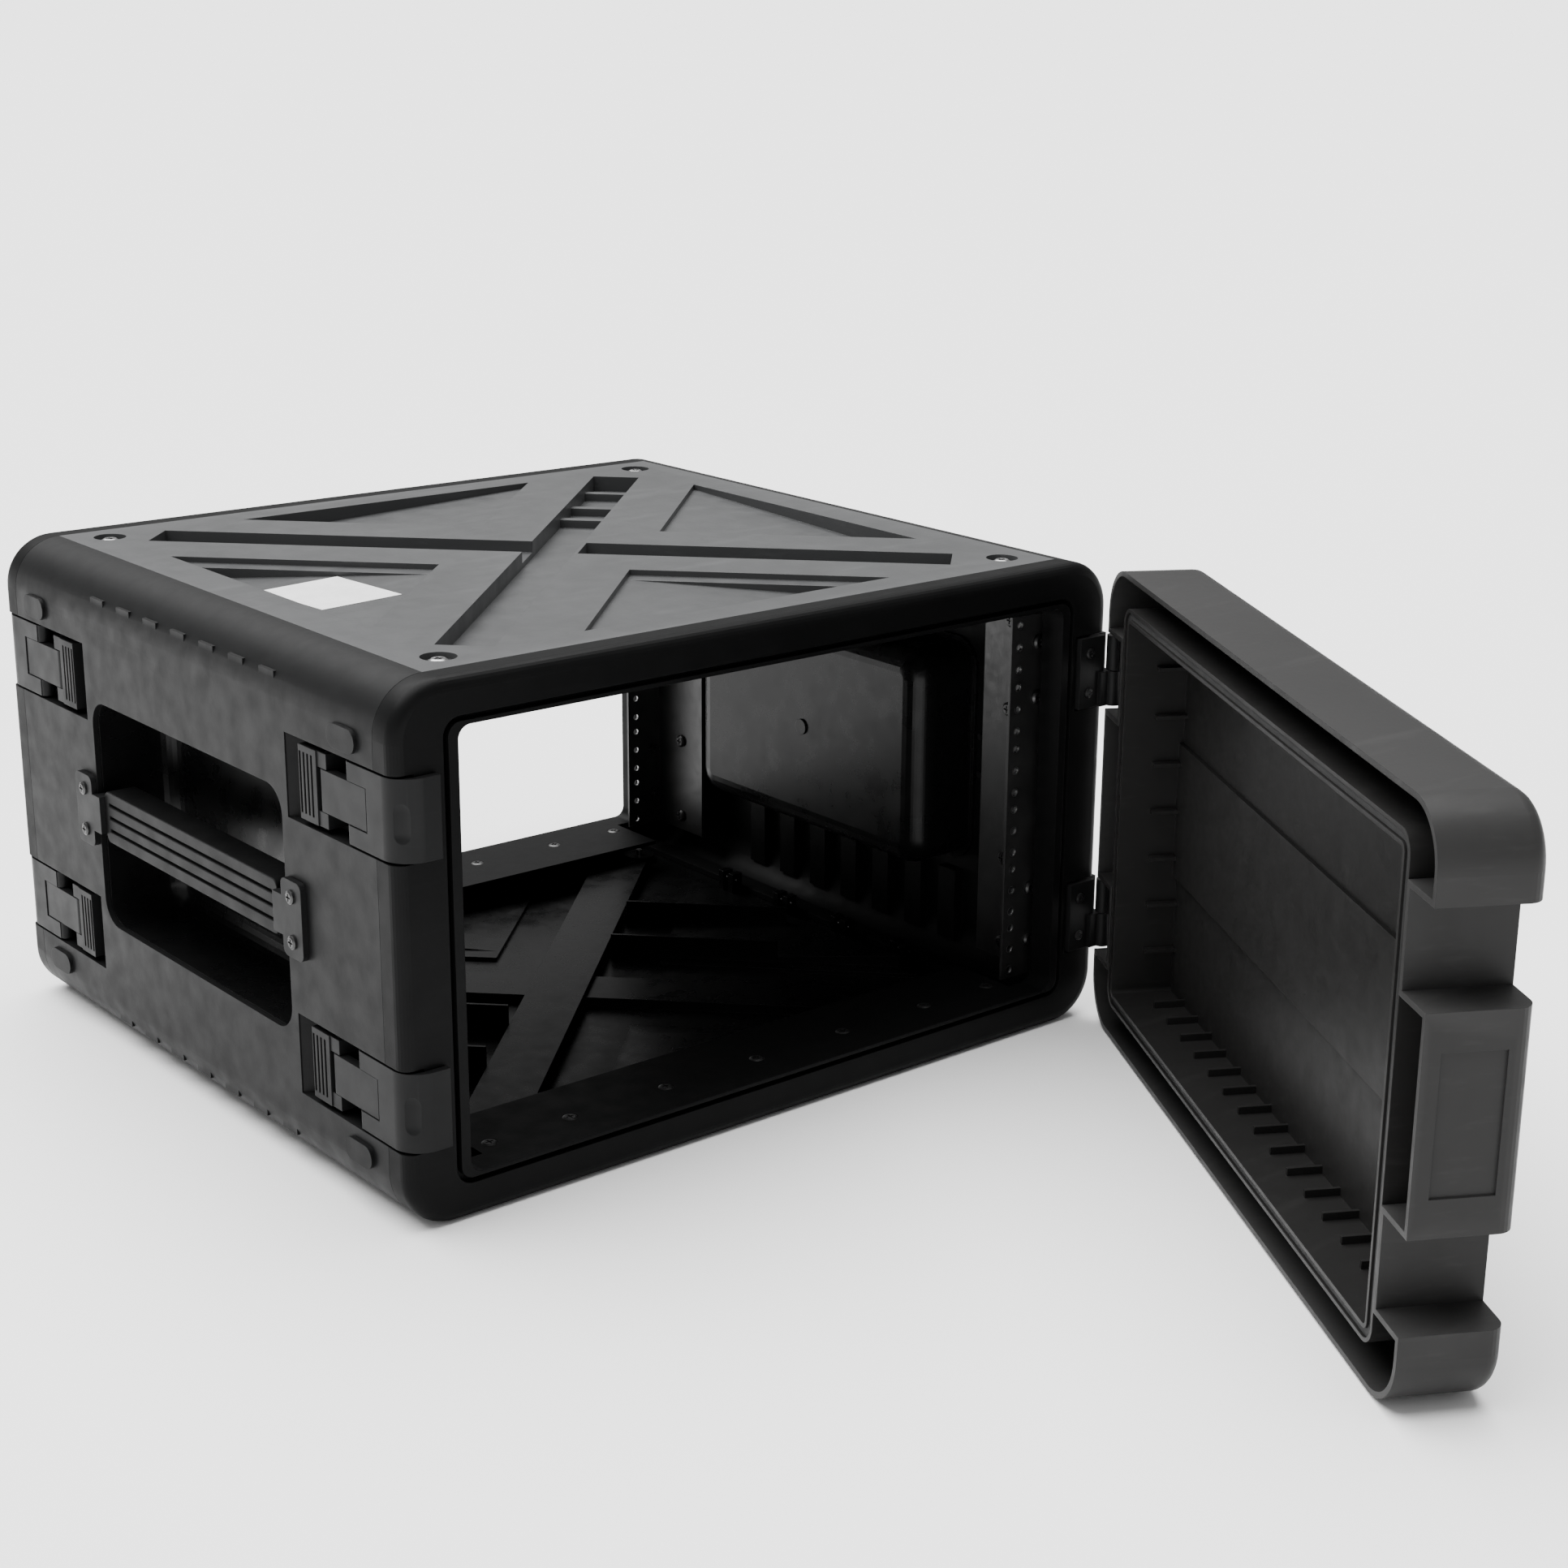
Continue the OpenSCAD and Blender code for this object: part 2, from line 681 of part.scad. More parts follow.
module rear_right_rail() { color("#26272a") mirror([0, 1, 0]) rail(); }

module rear_left_rail() { color("#26272a") mirror([1, 0, 0]) mirror([0, 1, 0]) rail(); }

module rail_screws() {
    color("#16171a") for (side = [0, 1], end = [0, 1]) mirror([side, 0, 0]) mirror([0, end, 0]) {
        for (z = rail_screw_z)
            translate([rail_side_x, -rail_y + rail_screw_y, rack_base + rack_h / 2 + z])
                rotate([0, -90, 0]) screw(rail_screw_r, rail_side_screw_l, rail_head_r, rail_head_h);
        for (z = rail_face_z)
            translate([rail_face_x, -rail_y, rack_base + rack_h / 2 + z]) {
                rotate([90, 0, 0]) screw(rail_screw_r, rail_face_screw_l, rail_head_r, rail_head_h);
                translate([0, rail_t, 0]) rotate([-90, 0, 0]) cylinder(r = nut_r, h = nut_h, $fn = 6);
            }
    }
}

// ---------- latches, drawn at the front and -X about the latch centre ----------

pin_x = -half_w + latch_pin_in;

module latch_base() {
    floor_x = -half_w + pocket_deep;
    y0 = -half_d + base_front;
    y1 = -half_d + base_back;
    difference() {
        union() {
            block([-half_w, y0, -base_half], [floor_x, y1, base_half]);
            for (up = [0, 1]) mirror([0, 0, up])
                block([pin_x - ear_r, -half_d + latch_pin_a - ear_front, tongue_h / 2 + tongue_gap],
                      [floor_x, y0 + over, base_half]);
        }
        for (i = [0:3])
            translate([0, y0 + base_rib_step * (i + 1), 0])
                block([-half_w - over, 0, -base_rib_half],
                      [-half_w + base_rib_deep, base_rib_t, base_rib_half]);
        translate([pin_x, -half_d + latch_pin_a, 0]) cylinder(r = latch_pin_r, h = bore_l, center = true);
    }
}

module latch_bases() { color("#333436") at_latches() latch_base(); }

module latch_base_pins() {
    color("#7d7f83") at_latches() translate([pin_x, -half_d + latch_pin_a, 0])
        cylinder(r = latch_pin_r, h = 2 * base_half, center = true);
}

module latch_link() {
    difference() {
        translate([0, 0, -tongue_h / 2]) linear_extrude(tongue_h) {
            for (s = [latch_pin_a, latch_pin_b]) translate([pin_x, -half_d + s]) circle(knuckle_r);
            translate([pin_x - knuckle_r, -half_d + tongue_nose]) square([6, latch_pin_a - tongue_nose]);
        }
        translate([pin_x, -half_d + latch_pin_a, 0]) cylinder(r = latch_pin_r + fit, h = bore_l, center = true);
        translate([pin_x, -half_d + latch_pin_b, 0]) cylinder(r = latch_pin_r, h = bore_l, center = true);
    }
}

lever_front = -half_d - lever_gap - hook_t;

// rectangle from the origin with the corner at the origin rounded
module one_round_corner(w, l, r) {
    translate([r, 0]) square([w - r, l]);
    translate([0, r]) square([w, l - r]);
    translate([r, r]) intersection() {
        circle(r);
        translate([-r, -r]) square(r);
    }
}

// lever outline in plan: arm along the side, round corner, hook across the rim
module lever_outline() {
    arm_l = -half_d + latch_pin_b - lever_front;
    hook_l = half_w - lever_hook_in;
    translate([pin_x, -half_d + latch_pin_b]) circle(knuckle_r);
    translate([-half_w, lever_front]) difference() {
        one_round_corner(hook_l, arm_l, lever_bend);
        translate([lever_t, hook_t]) one_round_corner(hook_l, arm_l, lever_bend_in);
    }
}

// oval dimple on the slant of the round corner
module thumb_dimple() {
    out = lever_bend + thumb_r - thumb_deep;
    translate([-half_w + lever_bend, lever_front + lever_bend, -thumb_low])
        rotate(225) translate([out, 0, 0]) {
            cylinder(r = thumb_r, h = 2 * thumb_half, center = true);
            for (up = [-1, 1]) translate([0, 0, up * thumb_half]) sphere(thumb_r);
        }
}

module latch_lever() {
    difference() {
        translate([0, 0, -latch_h / 2]) linear_extrude(latch_h) lever_outline();
        block([-half_w - over, -half_d + tongue_nose - 1.5, -tongue_h / 2 - tongue_gap],
              [-half_w + 20, -half_d + latch_pin_b + 10, tongue_h / 2 + tongue_gap]);
        thumb_dimple();
        translate([pin_x, -half_d + latch_pin_b, 0]) cylinder(r = latch_pin_r + fit, h = bore_l, center = true);
    }
}

module latch_lever_pin() {
    translate([pin_x, -half_d + latch_pin_b, 0]) cylinder(r = latch_pin_r, h = latch_h - 1, center = true);
}

// one latch part at its end (0 front, 1 rear) and row (0 lower, 1 upper)
module at_latch(end, row) {
    mirror([0, end, 0]) translate([0, 0, latch_z[row]]) children();
}

module front_upper_link() { color("#3a3b3e") at_latch(0, 1) latch_link(); }
module front_lower_link() { color("#3a3b3e") at_latch(0, 0) latch_link(); }
module rear_upper_link() { color("#3a3b3e") at_latch(1, 1) latch_link(); }
module rear_lower_link() { color("#3a3b3e") at_latch(1, 0) latch_link(); }
module front_upper_lever() { color("#45464a") at_latch(0, 1) latch_lever(); }
module front_lower_lever() { color("#45464a") at_latch(0, 0) latch_lever(); }
module rear_upper_lever() { color("#45464a") at_latch(1, 1) latch_lever(); }
module rear_lower_lever() { color("#45464a") at_latch(1, 0) latch_lever(); }
module front_upper_lever_pin() { color("#7d7f83") at_latch(0, 1) latch_lever_pin(); }
module front_lower_lever_pin() { color("#7d7f83") at_latch(0, 0) latch_lever_pin(); }
module rear_upper_lever_pin() { color("#7d7f83") at_latch(1, 1) latch_lever_pin(); }
module rear_lower_lever_pin() { color("#7d7f83") at_latch(1, 0) latch_lever_pin(); }

// ---------- door hinges ----------

half_bracket = latch_h / 2;

// body half of a hinge: wraps the corner of the end frame, knuckle on its lower half
module hinge_bracket() {
    face = -half_d + rim_relief;
    difference() {
        union() {
            block([bracket_plate_in[0], face - bracket_plate_t, -half_bracket],
                  [bracket_plate_in[1], face, half_bracket]);
            block([half_w - pocket_deep + 0.2, face, -half_bracket],
                  [half_w + bracket_proud, -seam_y - slit, half_bracket]);
            block([half_w + 0.1, -seam_y - over, -half_bracket],
                  [half_w + bracket_proud, -seam_y + bracket_lap, half_bracket]);
            block([bracket_arm_in, hinge_y, -half_bracket], [hinge_x, face, -knuckle_gap]);
            translate([hinge_x, hinge_y, -half_bracket])
                cylinder(r = hinge_r, h = half_bracket - knuckle_gap);
        }
        translate([hinge_x, hinge_y, -half_bracket - over]) cylinder(r = hinge_pin_r, h = latch_h);
        for (z = bracket_screw_z) {
            translate([bracket_screw_x, face - bracket_plate_t - over, z]) rotate([-90, 0, 0])
                cylinder(r = bracket_screw_r, h = bracket_plate_t + 2 * over);
            translate([half_w - over, -seam_y + bracket_lap / 2, z]) rotate([0, 90, 0])
                cylinder(r = bracket_screw_r, h = 6);
        }
    }
}

module at_hinges() {
    for (z = latch_z) translate([0, 0, z]) children();
}

module hinge_brackets() {
    color("#45464a") {
        at_hinges() hinge_bracket();
        mirror([0, 1, 0]) at_hinges() hinge_bracket();
    }
}

module hinge_pins() {
    color("#7d7f83") at_hinges() translate([hinge_x, hinge_y, -half_bracket + 1])
        cylinder(r = hinge_pin_r, h = latch_h - 3);
}

module hinge_bracket_screws() {
    color("#1c1c1e") for (end = [0, 1]) mirror([0, end, 0]) at_hinges() for (z = bracket_screw_z) {
        translate([bracket_screw_x, -half_d + rim_relief - bracket_plate_t, z]) rotate([90, 0, 0])
            screw(bracket_screw_r, bracket_face_screw_l, hinge_head_r, hinge_head_h);
        translate([half_w + bracket_proud, -seam_y + bracket_lap / 2, z]) rotate([0, 90, 0])
            screw(bracket_screw_r, bracket_side_screw_l, bracket_side_head_r, bracket_side_head_h);
    }
}

// ---------- door, drawn closed ----------

module on_door() {
    translate([hinge_x, hinge_y, 0]) rotate([0, 0, door_open]) translate([-hinge_x, -hinge_y, 0]) children();
}

// outline of the door with its four latch pockets; inset moves it inwards
module door_outline(inset) {
    difference() {
        at_mid() rounded(body_w - 2 * inset, door_h - 2 * inset, corner_r - inset);
        for (side = [0, 1], z = latch_z) mirror([side, 0])
            translate([door_pocket_x - inset, z - door_pocket_h / 2 - inset])
                square([half_w, door_pocket_h + 2 * inset]);
    }
}

// holes for the screws of both hinge leaves, from x0 outwards
module leaf_screw_holes(x0, length) {
    for (z = latch_z, dz = bracket_screw_z) translate([x0, -half_d - leaf_screw_back, z + dz])
        rotate([0, 90, 0]) cylinder(r = leaf_screw_r, h = length);
}

module door_shell() {
    color("#3c3d3f") on_door() difference() {
        along_y(door_front, door_back) door_outline(0);
        along_y(door_front + door_wall, door_back + over) door_outline(door_wall);
        // shallow recess in the block between the latch pockets
        block([-half_w - over, door_front + block_ends[0], mid_z - block_half],
              [-half_w + shallow_cut, door_back - block_ends[1], mid_z + block_half]);
        // pull recesses across the outer face
        for (z = [-band_half, band_half])
            block([-pull_l / 2, door_front - over, mid_z + z - pull_half],
                  [pull_l / 2, door_front + shallow_cut, mid_z + z + pull_half]);
        leaf_screw_holes(door_pocket_x - 6, 8);
    }
}

// tray with a double lip, its wall, its ribs and its stepped floor
module door_tray() {
    lip_face = door_back - 0.5;
    floor_y = door_back - tray_depth;
    skin_y = door_front + door_wall;
    inner = lip_t + lip_groove;
    color("#2b2c2e") on_door() {
        difference() {
            along_y(skin_y, lip_face) at_mid() rounded(tray_w, tray_h, tray_r);
            along_y(lip_face - 10, lip_face + over) at_mid() difference() {
                rounded(tray_w - 2 * lip_t, tray_h - 2 * lip_t, tray_r - lip_t);
                rounded(tray_w - 2 * inner, tray_h - 2 * inner, tray_r - inner);
            }
            along_y(floor_y, lip_face + over) at_mid()
                rounded(tray_w - 2 * inner - 2 * lip_t, tray_h - 2 * inner - 2 * lip_t, 3);
            along_y(skin_y - over, floor_y - tray_floor_t) at_mid()
                rounded(tray_w - 2 * inner - 2 * lip_t, tray_h - 2 * inner - 2 * lip_t, 3);
            // screw clearance at the hinge leaves
            leaf_screw_holes(tray_w / 2 - 6, 8);
        }
        // raised band across the floor
        block([-tray_w / 2 + band_inset, floor_y - over, mid_z - band_half],
              [tray_w / 2 - band_inset, floor_y + band_t, mid_z + band_half]);
        // ribs along the lower wall
        for (i = [-7:7]) translate([i * tray_rib_step, 0, mid_z - tray_h / 2])
            block([-tray_rib_half, floor_y - over, tray_rib_up[0]],
                  [tray_rib_half, floor_y + tray_rib_h, tray_rib_up[1]]);
        // ribs on the hinge side wall
        for (i = [-3:3]) translate([tray_w / 2, 0, mid_z + i * hinge_rib_step])
            block([-hinge_rib_in[0], floor_y - over, -tray_rib_half],
                  [-hinge_rib_in[1], floor_y + tray_rib_h, tray_rib_half]);
    }
}

module door_seal() {
    gap = 0.2;
    face = door_back - 2;
    color("#141516") on_door() along_y(face - seal_deep, face) at_mid() difference() {
        rounded(tray_w - 2 * lip_t - 2 * gap, tray_h - 2 * lip_t - 2 * gap, tray_r - lip_t);
        rounded(tray_w - 2 * (lip_t + lip_groove - gap), tray_h - 2 * (lip_t + lip_groove - gap), 6);
    }
}

// door half of a hinge: plate on the pocket floor, arm and upper knuckle
module hinge_leaf() {
    arm_front = hinge_y - hinge_r;
    difference() {
        union() {
            block([door_pocket_x, arm_front - leaf_plate_l, -leaf_half],
                  [door_pocket_x + leaf_t, arm_front + leaf_arm_t, leaf_half]);
            block([door_pocket_x, arm_front, knuckle_gap], [hinge_x, arm_front + leaf_arm_t, half_bracket]);
            translate([hinge_x, hinge_y, knuckle_gap])
                cylinder(r = hinge_r, h = half_bracket - knuckle_gap);
            // ribs on the arm
            for (i = [0:3])
                translate([bracket_plate_in[0] + 4 + leaf_rib_step * i, arm_front, 0])
                    block([0, -1.2, 2], [leaf_rib_t, over, half_bracket - 2]);
        }
        translate([hinge_x, hinge_y, -over]) cylinder(r = hinge_pin_r + fit, h = latch_h);
        for (dz = bracket_screw_z) translate([door_pocket_x - over, -half_d - leaf_screw_back, dz])
            rotate([0, 90, 0]) cylinder(r = leaf_screw_r, h = 6);
    }
}

module door_hinge_leaves() { color("#55565a") on_door() at_hinges() hinge_leaf(); }

module door_leaf_screws() {
    color("#1c1c1e") on_door() at_hinges() for (dz = bracket_screw_z)
        translate([door_pocket_x + leaf_t, -half_d - leaf_screw_back, dz]) rotate([0, 90, 0])
            screw(leaf_screw_r, leaf_screw_l, hinge_head_r, hinge_head_h);
}

// ---------- one line for each sub-part ----------

top_panel();
bottom_panel();
left_side_panel();
right_side_panel();
front_frame();
rear_frame();
front_frame_screws();
rear_frame_screws();
corner_screws();
panel_clips();
blank_label();
left_handle_tub();
right_handle_tub();
left_handle_grip();
right_handle_grip();
left_handle_brackets();
right_handle_brackets();
handle_screws();
front_left_rail();
front_right_rail();
rear_left_rail();
rear_right_rail();
rail_screws();
latch_bases();
latch_base_pins();
front_upper_link();
front_upper_lever();
front_upper_lever_pin();
front_lower_link();
front_lower_lever();
front_lower_lever_pin();
rear_upper_link();
rear_upper_lever();
rear_upper_lever_pin();
rear_lower_link();
rear_lower_lever();
rear_lower_lever_pin();
hinge_brackets();
hinge_pins();
hinge_bracket_screws();
door_shell();
door_tray();
door_seal();
door_hinge_leaves();
door_leaf_screws();
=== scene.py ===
"""Looks for the rack case: finishes, rounded edges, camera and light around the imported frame."""

import json
import math

import bmesh
import bpy
from mathutils import Matrix, Vector

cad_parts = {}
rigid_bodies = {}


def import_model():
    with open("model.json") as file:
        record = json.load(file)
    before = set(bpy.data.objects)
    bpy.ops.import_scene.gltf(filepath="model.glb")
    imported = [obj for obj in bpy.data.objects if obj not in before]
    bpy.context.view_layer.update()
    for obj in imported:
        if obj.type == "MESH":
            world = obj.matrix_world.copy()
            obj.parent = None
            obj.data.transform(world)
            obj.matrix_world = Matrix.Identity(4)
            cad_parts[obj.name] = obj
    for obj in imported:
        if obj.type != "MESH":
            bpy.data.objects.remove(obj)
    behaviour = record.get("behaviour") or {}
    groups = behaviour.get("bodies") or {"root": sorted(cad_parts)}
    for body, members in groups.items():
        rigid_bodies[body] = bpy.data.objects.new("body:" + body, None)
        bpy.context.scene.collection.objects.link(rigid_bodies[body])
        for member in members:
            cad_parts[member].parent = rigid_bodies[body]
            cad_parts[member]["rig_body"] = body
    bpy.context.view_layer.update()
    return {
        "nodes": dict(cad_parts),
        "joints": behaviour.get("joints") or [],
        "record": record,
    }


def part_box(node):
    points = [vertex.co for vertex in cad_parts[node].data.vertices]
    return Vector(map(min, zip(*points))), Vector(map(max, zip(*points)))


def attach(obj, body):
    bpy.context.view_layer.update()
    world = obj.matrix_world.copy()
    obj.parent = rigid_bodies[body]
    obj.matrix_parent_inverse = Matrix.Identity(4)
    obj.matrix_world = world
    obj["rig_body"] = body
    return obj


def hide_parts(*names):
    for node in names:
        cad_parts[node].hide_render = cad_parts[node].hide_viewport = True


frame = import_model()
NODES = frame["nodes"]
SLOT_OF = {part["node"]: part["material_slot"] for part in frame["record"]["subparts"]}
MM = 0.001
WELD_DISTANCE = 0.002 * MM
FLAT_ANGLE = math.radians(0.4)  # faces that differ by less than this are one flat face
FLOOR_SIZE = 600  # metres, so that its far edge is out of the main view

# ---------- sizes that follow from the frame ----------

case_low, case_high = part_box("front_frame")
HALF_W = case_high.x
HEIGHT = case_high.z
MID_Z = HEIGHT / 2
FRONT_Y = case_low.y
HINGE = next(j for j in frame["joints"] if j["name"] == "door_hinge")
HINGE_AT = Vector(HINGE["pos_m"])
DOOR_OPEN = -HINGE["range_deg"][0]  # the door rests this many degrees from shut

CORNER_R = 34 * MM  # outline corners of the end frames and the door
RIM_ROUND = 8 * MM  # outer edge of the end frames
DOOR_ROUND = 10 * MM  # outer edge of the door

TUB_WALL = 3 * MM
TUB_BOSS = 1.5 * MM  # the boss stands this far out of the tub's floor
TUB_ROUND = 14 * MM
TUB_CORNER_R = 18 * MM
TUB_FLANGE_L = 6 * MM  # width of the tub's flange at its ends
TUB_FLANGE_H = 7 * MM  # and above and below

INCH = 25.4 * MM
RACK_UNIT = 44.45 * MM
RACK_COLUMNS = 465.1 * MM  # between the two columns of rack holes
FIRST_HOLE = 0.25 * INCH  # from the end of a rack unit to its first hole
HOLE_STEP = 0.625 * INCH
HOLES_PER_UNIT = 3
RIM_SIDES = 20
HOLE_R, HOLE_RIM_R = 2.4 * MM, 3.1 * MM
# (radius, depth behind the rail's face) of a hole's bright rim, from its outer edge inwards
HOLE_RIM_PROFILE = (
    (HOLE_RIM_R, 0),
    (HOLE_RIM_R - 0.25 * MM, -0.12 * MM),
    (HOLE_R, 0.25 * MM),
    (HOLE_R, 1.8 * MM),
)


# ---------- materials ----------


class Finish:
    """A node material with helpers for the procedural detail that the finishes share."""

    def __init__(self, name):
        self.material = bpy.data.materials.new(name)
        self.material.use_nodes = True
        self.tree = self.material.node_tree
        self.shader = self.tree.nodes["Principled BSDF"]
        self.place = self.tree.nodes.new("ShaderNodeTexCoord").outputs["Object"]

    def link(self, out, into):
        self.tree.links.new(out, into)

    def drive(self, socket, out):
        """Feeds that output into one of the shader's own sockets."""
        self.link(out, self.shader.inputs[socket])

    def noise(self, scale, detail=2.0, stretch=(1, 1, 1)):
        mapping = self.tree.nodes.new("ShaderNodeMapping")
        mapping.inputs["Scale"].default_value = stretch
        self.link(self.place, mapping.inputs["Vector"])
        noise = self.tree.nodes.new("ShaderNodeTexNoise")
        noise.inputs["Scale"].default_value = scale
        noise.inputs["Detail"].default_value = detail
        self.link(mapping.outputs["Vector"], noise.inputs["Vector"])
        return noise.outputs["Fac"]

    def spread(self, value, low, high, at=(0.3, 0.7)):
        """A value that runs over the range at, spread over low to high."""
        node = self.tree.nodes.new("ShaderNodeMapRange")
        node.inputs["From Min"].default_value, node.inputs["From Max"].default_value = at
        node.inputs["To Min"].default_value, node.inputs["To Max"].default_value = low, high
        self.link(value, node.inputs["Value"])
        return node.outputs["Result"]

    def tint(self, factor, dark, light):
        """A colour between dark and light by that factor."""
        node = self.tree.nodes.new("ShaderNodeMix")
        node.data_type = "RGBA"
        node.inputs["A"].default_value = (*dark, 1)
        node.inputs["B"].default_value = (*light, 1)
        self.link(factor, node.inputs["Factor"])
        return node.outputs["Result"]

    def add(self, a, b):
        """The sum of two factors, kept within 0 to 1."""
        node = self.tree.nodes.new("ShaderNodeMath")
        node.operation = "ADD"
        node.use_clamp = True
        self.link(a, node.inputs[0])
        self.link(b, node.inputs[1])
        return node.outputs["Value"]

    def bump(self, height, distance, strength, before=None):
        """A normal from that height, on top of the normal before."""
        node = self.tree.nodes.new("ShaderNodeBump")
        node.inputs["Distance"].default_value = distance
        node.inputs["Strength"].default_value = strength
        self.link(height, node.inputs["Height"])
        if before is not None:
            self.link(before, node.inputs["Normal"])
        return node.outputs["Normal"]

    def soft_edges(self, radius):
        """A normal that rounds every hard edge to that radius."""
        node = self.tree.nodes.new("ShaderNodeBevel")
        node.samples = 4
        node.inputs["Radius"].default_value = radius
        return node.outputs["Normal"]

    def edge_highlight_mask(self):
        """1 on outward edges, and 0 elsewhere: the mask for a painted highlight along the edges."""
        geometry = self.tree.nodes.new("ShaderNodeNewGeometry")
        return self.spread(geometry.outputs["Pointiness"], 0, 1, at=(0.53, 0.62))


def shade(level, warmth=0.0):
    """A near-neutral colour of that linear level."""
    return (level * (1 + warmth), level, level * (1 - warmth))


def moulded_plastic(name, level, roughness, grain=0.22, warmth=-0.02, scuffs=0.35, gloss=0.10):
    """Satin black moulding: fine spark-eroded grain, cloudy tone, light scuffs, and a painted
    highlight that lightens the outward edges.
    """
    f = Finish(name)
    cloud = f.noise(7, 4)
    streak = f.spread(f.noise(24, 6, stretch=(0.5, 3, 9)), 0, scuffs, at=(0.58, 0.78))
    # real scuffs plus a painted highlight: the outward edges are lightened in the colour itself
    scuffs_and_edge_highlight = f.add(streak, f.spread(f.edge_highlight_mask(), 0, 0.5, at=(0, 1)))
    tone = f.add(f.spread(cloud, 0, 0.25), scuffs_and_edge_highlight)
    f.drive("Base Color", f.tint(tone, shade(level * 0.86, warmth), shade(level * 1.5, warmth)))
    f.drive("Roughness", f.spread(f.noise(60, 5), roughness - 0.05, roughness + 0.08))
    f.shader.inputs["Specular IOR Level"].default_value = gloss
    coarse = f.bump(f.noise(420, 3), 0.25 * MM, grain * 0.5, f.soft_edges(0.5 * MM))
    f.drive("Normal", f.bump(f.noise(1500, 2), 0.12 * MM, grain, coarse))
    return f.material


def metal(name, level, roughness, metallic=1.0, warmth=0.0):
    """Turned or plated steel with fine scratches and a little tarnish."""
    f = Finish(name)
    scratch = f.noise(300, 4, stretch=(1, 1, 14))
    tarnish = f.spread(f.noise(90, 4), 0, 1)
    f.drive("Base Color", f.tint(tarnish, shade(level * 0.75, warmth), shade(level * 1.2, warmth)))
    f.drive("Roughness", f.spread(scratch, roughness - 0.07, roughness + 0.1))
    f.shader.inputs["Metallic"].default_value = metallic
    f.drive("Normal", f.bump(scratch, 0.05 * MM, 0.15, f.soft_edges(0.2 * MM)))
    return f.material


def powder_coat(name):
    """Black powder-coated steel with its slight orange peel."""
    f = Finish(name)
    f.drive("Base Color", f.tint(f.spread(f.noise(35, 3), 0, 1), shade(0.010), shade(0.019)))
    f.drive("Roughness", f.spread(f.noise(140, 3), 0.3, 0.42))
    f.drive("Normal", f.bump(f.noise(700, 2), 0.15 * MM, 0.3, f.soft_edges(0.3 * MM)))
    return f.material


def paper(name):
    """Matt white sticker stock with a faint fibre and a slightly uneven tone."""
    f = Finish(name)
    f.drive("Base Color", f.tint(f.spread(f.noise(45, 5), 0, 1), shade(0.72), shade(0.84)))
    f.drive("Roughness", f.spread(f.noise(200, 3), 0.42, 0.6))
    f.drive("Normal", f.bump(f.noise(1800, 4), 0.04 * MM, 0.25))
    return f.material


def rubber(name):
    """Dull black foam rubber with a pitted skin."""
    f = Finish(name)
    f.drive("Base Color", f.tint(f.spread(f.noise(120, 4), 0, 1), shade(0.007), shade(0.014)))
    f.drive("Roughness", f.spread(f.noise(80, 3), 0.68, 0.85))
    f.drive("Normal", f.bump(f.noise(1100, 4), 0.2 * MM, 0.4))
    return f.material


# One finish for each material slot of the record
FINISHES = {
    # shell is the side panels: their level is set low as painted shade on the sides
    "shell": moulded_plastic("shell_plastic", 0.006, 0.46),
    # panel is the top panel: its level is set far above the shell's as painted light on the top
    "panel": moulded_plastic("panel_plastic", 0.055, 0.38, gloss=0.28),
    "frame": moulded_plastic("frame_plastic", 0.004, 0.42, gloss=0.06),
    "interior": moulded_plastic("interior_plastic", 0.004, 0.28, grain=0.06, scuffs=0.06, gloss=0.16),
    "latch": moulded_plastic("latch_plastic", 0.008, 0.40, grain=0.12),
    "grip": moulded_plastic("grip_plastic", 0.004, 0.46, grain=0.3),
    "rail": powder_coat("rail_powder_coat"),
    "screw": metal("black_steel", 0.06, 0.34, metallic=0.9),
    "pin": metal("bright_steel", 0.30, 0.32),
    "label": paper("label_paper"),
    "door": moulded_plastic("door_plastic", 0.024, 0.42, warmth=0.01),
    "tray": moulded_plastic("tray_plastic", 0.015, 0.36, grain=0.16, warmth=0.02, scuffs=0.5),
    "seal": rubber("seal_rubber"),
}


def paint(obj, slot):
    """Gives an object the finish of that slot all over."""
    if not obj.data.materials:
        obj.data.materials.append(None)
    for i in range(len(obj.data.materials)):
        obj.data.materials[i] = FINISHES[slot]


# ---------- mesh work ----------


def welded(node):
    """A bmesh of a CAD node with its split corners merged and its flat faces whole."""
    bm = bmesh.new()
    bm.from_mesh(NODES[node].data)
    bmesh.ops.remove_doubles(bm, verts=bm.verts, dist=WELD_DISTANCE)
    bmesh.ops.dissolve_limit(bm, angle_limit=FLAT_ANGLE, verts=bm.verts, edges=bm.edges)
    return bm


def outline_offset(u, v, half_u, half_v, corner):
    """Distance outside a centred round-cornered rectangle, and the direction straight out of it."""
    du, dv = abs(u) - (half_u - corner), abs(v) - (half_v - corner)
    su, sv = math.copysign(1, u), math.copysign(1, v)
    if du > 0 and dv > 0:
        reach = math.hypot(du, dv)
        return reach - corner, (su * du / reach, sv * dv / reach)
    if du > dv:
        return du - corner, (su, 0.0)
    return dv - corner, (0.0, sv)


